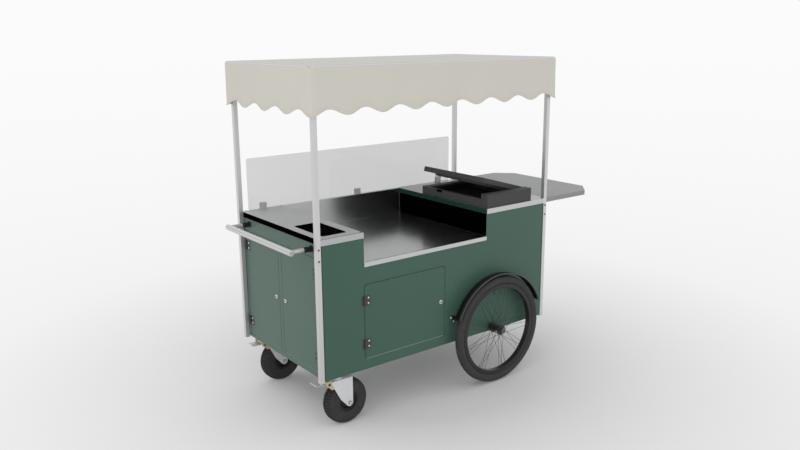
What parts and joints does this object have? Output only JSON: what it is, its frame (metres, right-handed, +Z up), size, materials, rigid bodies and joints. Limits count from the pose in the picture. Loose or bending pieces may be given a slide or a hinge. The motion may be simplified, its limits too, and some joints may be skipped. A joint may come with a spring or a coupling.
{
  "type": "street vending hand cart",
  "caption": "Hand-pushed street vending cart with spoked wheels, braked casters, steel worktops, sunken deck, lidded box, folding shelf, glass guard and flat scalloped canopy.",
  "frame": {"origin": "centre of the plan box on the floor, where the tyres touch", "axes": "+Z up, +X along the cart from the push handle to the side shelf, +Y to the side with the glass guard"},
  "size_m": [2.289, 1.0956, 1.942],
  "materials": {
    "aluminium_tube": "satin",
    "frame_steel": "satin",
    "green_paint": "satin",
    "worktop_steel": "brushed",
    "guard_glass": "clear, slightly frosted",
    "black_plastic": "matte",
    "canopy_fabric": "woven, coated",
    "black_paint": "gloss",
    "zinc_steel": "zinc plated",
    "hinge_dark": "satin",
    "lock_chrome": "polished",
    "tyre_rubber": "matte",
    "black_rim": "black anodised",
    "spoke_dark": "black oxide",
    "gold_zinc": "yellow zinc plated",
    "box_grey": "matte"
  },
  "bodies": {
    "cart": {"corner_posts": "aluminium_tube", "fasteners": "zinc_steel", "base_long_rails": "frame_steel", "base_cross_rails": "frame_steel", "cabinet_floor": "worktop_steel", "near_panel": "green_paint", "far_panel": "green_paint", "handle_end_frame": "green_paint", "shelf_end_panel": "green_paint", "left_worktop": "worktop_steel", "well_liner": "worktop_steel", "right_worktop": "worktop_steel", "glass_guard": "guard_glass", "glass_clips": "aluminium_tube", "push_handle": "aluminium_tube", "handle_sockets": "black_plastic", "canopy_frame": "aluminium_tube", "canopy_cover": "canopy_fabric", "fender_near": "black_paint", "fender_far": "black_paint", "axle_near": "zinc_steel", "axle_far": "zinc_steel", "axle_nuts": "zinc_steel", "hinge_frame_leaves": "hinge_dark", "shelf_end_mounts": "zinc_steel", "caster_near_plate": "zinc_steel", "caster_far_plate": "zinc_steel", "box_body": "box_grey"},
    "wheel_near": {"wheel_near_tyre": "tyre_rubber", "wheel_near_rim": "black_rim", "wheel_near_hub": "black_rim", "wheel_near_spokes": "spoke_dark"},
    "caster_near": {"caster_near_fork": "zinc_steel", "caster_near_axle": "zinc_steel", "caster_near_bracket": "gold_zinc"},
    "caster_near_wheel": {"caster_near_tyre": "tyre_rubber", "caster_near_rim": "black_plastic"},
    "caster_near_brake": {"caster_near_pedal": "zinc_steel"},
    "wheel_far": {"wheel_far_tyre": "tyre_rubber", "wheel_far_rim": "black_rim", "wheel_far_hub": "black_rim", "wheel_far_spokes": "spoke_dark"},
    "caster_far": {"caster_far_fork": "zinc_steel", "caster_far_axle": "zinc_steel", "caster_far_bracket": "gold_zinc"},
    "caster_far_wheel": {"caster_far_tyre": "tyre_rubber", "caster_far_rim": "black_plastic"},
    "caster_far_brake": {"caster_far_pedal": "zinc_steel"},
    "near_door": {"near_door": "green_paint", "near_door_leaves": "hinge_dark"},
    "near_door_lock": {"near_door_lock": "lock_chrome"},
    "end_door_near": {"end_door_near": "green_paint", "end_door_near_leaves": "hinge_dark"},
    "end_door_near_lock": {"end_door_near_lock": "lock_chrome"},
    "end_door_far": {"end_door_far": "green_paint", "end_door_far_leaves": "hinge_dark"},
    "end_door_far_lock": {"end_door_far_lock": "lock_chrome"},
    "box_lid": {"box_lid": "box_grey"},
    "side_shelf": {"side_shelf": "worktop_steel"},
    "shelf_brace": {"shelf_brace": "zinc_steel"}
  },
  "joints": [
    {"name": "wheel_near_spin", "type": "hinge", "parent": "cart", "child": "wheel_near", "pos_m": [0.2015, -0.4895, 0.333], "axis": [0, 1, 0], "continuous": true},
    {"name": "caster_near_swivel", "type": "hinge", "parent": "cart", "child": "caster_near", "pos_m": [-0.8895, -0.3585, 0.293], "axis": [0, 0, 1], "continuous": true},
    {"name": "caster_near_roll", "type": "hinge", "parent": "caster_near", "child": "caster_near_wheel", "pos_m": [-0.8315, -0.3585, 0.13], "axis": [0, 1, 0], "continuous": true},
    {"name": "caster_near_brake_press", "type": "hinge", "parent": "caster_near", "child": "caster_near_brake", "pos_m": [-0.9555, -0.3585, 0.266], "axis": [0, -1, 0], "range_deg": [0, 12]},
    {"name": "wheel_far_spin", "type": "hinge", "parent": "cart", "child": "wheel_far", "pos_m": [0.2015, 0.4895, 0.333], "axis": [0, 1, 0], "continuous": true},
    {"name": "caster_far_swivel", "type": "hinge", "parent": "cart", "child": "caster_far", "pos_m": [-0.8895, 0.3585, 0.293], "axis": [0, 0, 1], "continuous": true},
    {"name": "caster_far_roll", "type": "hinge", "parent": "caster_far", "child": "caster_far_wheel", "pos_m": [-0.8315, 0.3585, 0.13], "axis": [0, 1, 0], "continuous": true},
    {"name": "caster_far_brake_press", "type": "hinge", "parent": "caster_far", "child": "caster_far_brake", "pos_m": [-0.9555, 0.3585, 0.266], "axis": [0, -1, 0], "range_deg": [0, 12]},
    {"name": "near_door_swing", "type": "hinge", "parent": "cart", "child": "near_door", "pos_m": [-0.74175, -0.4405, 0.5785], "axis": [0, 0, -1], "range_deg": [0, 120]},
    {"name": "near_door_lock_turn", "type": "hinge", "parent": "near_door", "child": "near_door_lock", "pos_m": [-0.2075, -0.4345, 0.5785], "axis": [0, -1, 0], "range_deg": [0, 90]},
    {"name": "end_door_near_swing", "type": "hinge", "parent": "cart", "child": "end_door_near", "pos_m": [-1.0072, -0.38895, 0.653], "axis": [0, 0, 1], "range_deg": [0, 120]},
    {"name": "end_door_near_lock_turn", "type": "hinge", "parent": "end_door_near", "child": "end_door_near_lock", "pos_m": [-1.0012, -0.0495, 0.653], "axis": [1, 0, 0], "range_deg": [0, 90]},
    {"name": "end_door_far_swing", "type": "hinge", "parent": "cart", "child": "end_door_far", "pos_m": [-1.0072, 0.38895, 0.653], "axis": [0, 0, -1], "range_deg": [0, 120]},
    {"name": "end_door_far_lock_turn", "type": "hinge", "parent": "end_door_far", "child": "end_door_far_lock", "pos_m": [-1.0012, 0.0495, 0.653], "axis": [-1, 0, 0], "range_deg": [0, 90]},
    {"name": "box_lid_tilt", "type": "hinge", "parent": "cart", "child": "box_lid", "pos_m": [0.50475, -0.1265, 1.14], "axis": [0, 1, 0], "range_deg": [-16, 64]},
    {"name": "side_shelf_fold", "type": "hinge", "parent": "cart", "child": "side_shelf", "pos_m": [0.6645, 0, 1.039], "axis": [0, 1, 0], "range_deg": [0, 90]},
    {"name": "shelf_brace_swing", "type": "hinge", "parent": "cart", "child": "shelf_brace", "pos_m": [0.6645, 0, 0.839], "axis": [0, 1, 0], "range_deg": [0, 135]}
  ],
  "couplings": [
    {"joint": "shelf_brace_swing", "follows": "side_shelf_fold", "ratio": 1.5}
  ]
}
